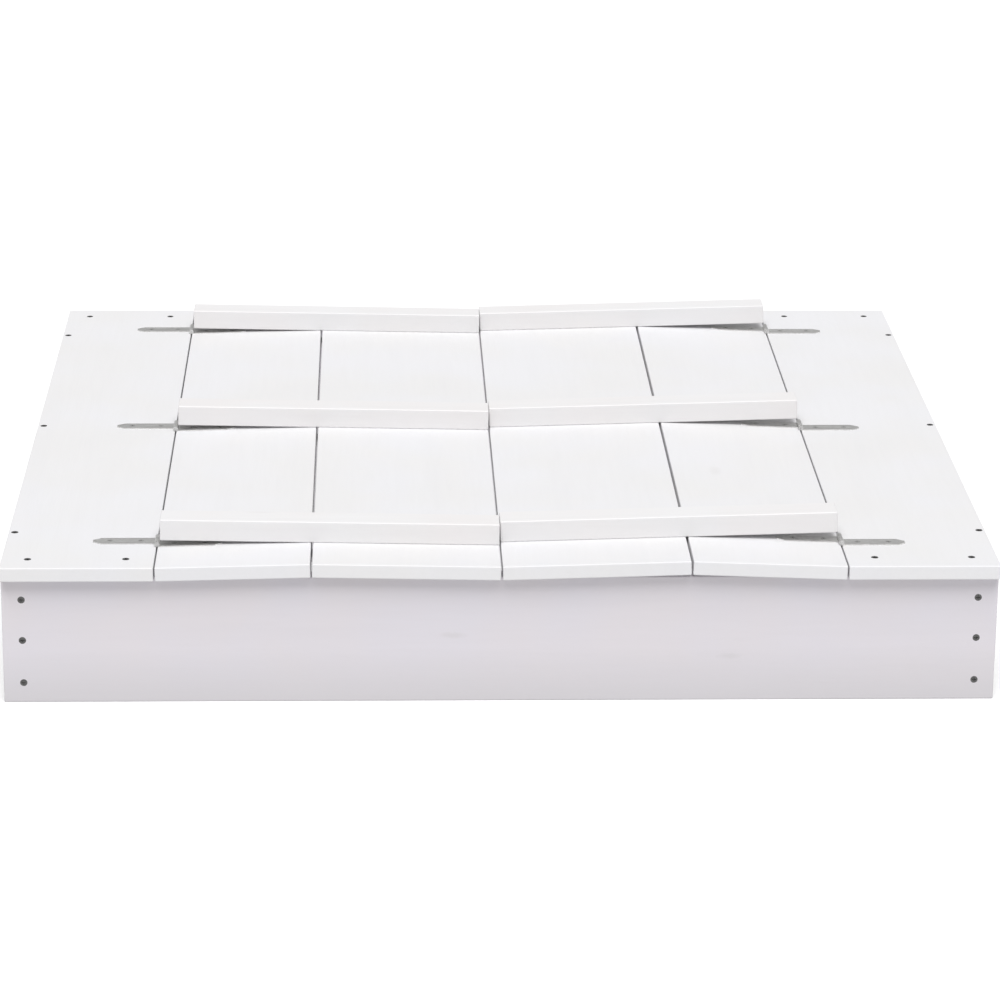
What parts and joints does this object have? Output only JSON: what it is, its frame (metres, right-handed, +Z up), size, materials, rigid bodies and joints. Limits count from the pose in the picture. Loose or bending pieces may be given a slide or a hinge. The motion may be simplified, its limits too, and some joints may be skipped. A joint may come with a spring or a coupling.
{
  "type": "sandbox with folding cover",
  "caption": "Low rectangular white wooden sandbox whose two-part hinged cover folds out into two benches with backrests.",
  "frame": {"origin": "middle of the footprint, on the ground", "axes": "+Z up; X along the 950 mm length, across which the cover's two halves meet; +Y from the front wall to the back wall"},
  "size_m": [0.95, 0.9, 0.1703],
  "materials": {
    "painted_wood": "satin white paint over softwood",
    "hinge_steel": "dull zinc plate",
    "screw_steel": "grey zinc plate"
  },
  "bodies": {
    "box": {"back_wall": "painted_wood", "corner_post_back_left": "painted_wood", "corner_post_back_right": "painted_wood", "corner_post_front_left": "painted_wood", "corner_post_front_right": "painted_wood", "deck_screws": "screw_steel", "end_wall_screws": "screw_steel", "front_wall": "painted_wood", "left_box_leaf_screws": "screw_steel", "left_deck_board": "painted_wood", "left_outer_hinge_back_box_leaf": "hinge_steel", "left_outer_hinge_front_box_leaf": "hinge_steel", "left_outer_hinge_middle_box_leaf": "hinge_steel", "left_outer_hinge_pins": "hinge_steel", "left_wall": "painted_wood", "right_box_leaf_screws": "screw_steel", "right_deck_board": "painted_wood", "right_outer_hinge_back_box_leaf": "hinge_steel", "right_outer_hinge_front_box_leaf": "hinge_steel", "right_outer_hinge_middle_box_leaf": "hinge_steel", "right_outer_hinge_pins": "hinge_steel", "right_wall": "painted_wood", "side_wall_screws": "screw_steel"},
    "left_seat": {"left_inner_hinge_back_seat_leaf": "hinge_steel", "left_inner_hinge_front_seat_leaf": "hinge_steel", "left_inner_hinge_middle_seat_leaf": "hinge_steel", "left_inner_hinge_pins": "hinge_steel", "left_outer_hinge_back_seat_leaf": "hinge_steel", "left_outer_hinge_front_seat_leaf": "hinge_steel", "left_outer_hinge_middle_seat_leaf": "hinge_steel", "left_seat_leaf_screws": "screw_steel", "left_seat_panel": "painted_wood"},
    "left_backrest": {"left_back_leaf_screws": "screw_steel", "left_back_panel": "painted_wood", "left_batten_back": "painted_wood", "left_batten_front": "painted_wood", "left_batten_middle": "painted_wood", "left_batten_screws": "screw_steel", "left_inner_hinge_back_back_leaf": "hinge_steel", "left_inner_hinge_front_back_leaf": "hinge_steel", "left_inner_hinge_middle_back_leaf": "hinge_steel"},
    "right_seat": {"right_inner_hinge_back_seat_leaf": "hinge_steel", "right_inner_hinge_front_seat_leaf": "hinge_steel", "right_inner_hinge_middle_seat_leaf": "hinge_steel", "right_inner_hinge_pins": "hinge_steel", "right_outer_hinge_back_seat_leaf": "hinge_steel", "right_outer_hinge_front_seat_leaf": "hinge_steel", "right_outer_hinge_middle_seat_leaf": "hinge_steel", "right_seat_leaf_screws": "screw_steel", "right_seat_panel": "painted_wood"},
    "right_backrest": {"right_back_leaf_screws": "screw_steel", "right_back_panel": "painted_wood", "right_batten_back": "painted_wood", "right_batten_front": "painted_wood", "right_batten_middle": "painted_wood", "right_batten_screws": "screw_steel", "right_inner_hinge_back_back_leaf": "hinge_steel", "right_inner_hinge_front_back_leaf": "hinge_steel", "right_inner_hinge_middle_back_leaf": "hinge_steel"}
  },
  "joints": [
    {"name": "left_seat_fold", "type": "hinge", "parent": "box", "child": "left_seat", "pos_m": [-0.3294, 0, 0.1425], "axis": [0, -1, 0], "range_deg": [0, 180.55]},
    {"name": "left_backrest_fold", "type": "hinge", "parent": "left_seat", "child": "left_backrest", "pos_m": [-0.1808, 0, 0.1269], "axis": [0, -1, 0], "range_deg": [-82.49, 0]},
    {"name": "right_seat_fold", "type": "hinge", "parent": "box", "child": "right_seat", "pos_m": [0.3294, 0, 0.1425], "axis": [0, 1, 0], "range_deg": [0, 179.82]},
    {"name": "right_backrest_fold", "type": "hinge", "parent": "right_seat", "child": "right_backrest", "pos_m": [0.18062, 0, 0.12881], "axis": [0, 1, 0], "range_deg": [-81.15, 0]}
  ],
  "couplings": [
    {"joint": "left_backrest_fold", "follows": "left_seat_fold", "ratio": -0.45684},
    {"joint": "right_backrest_fold", "follows": "right_seat_fold", "ratio": -0.45124}
  ]
}
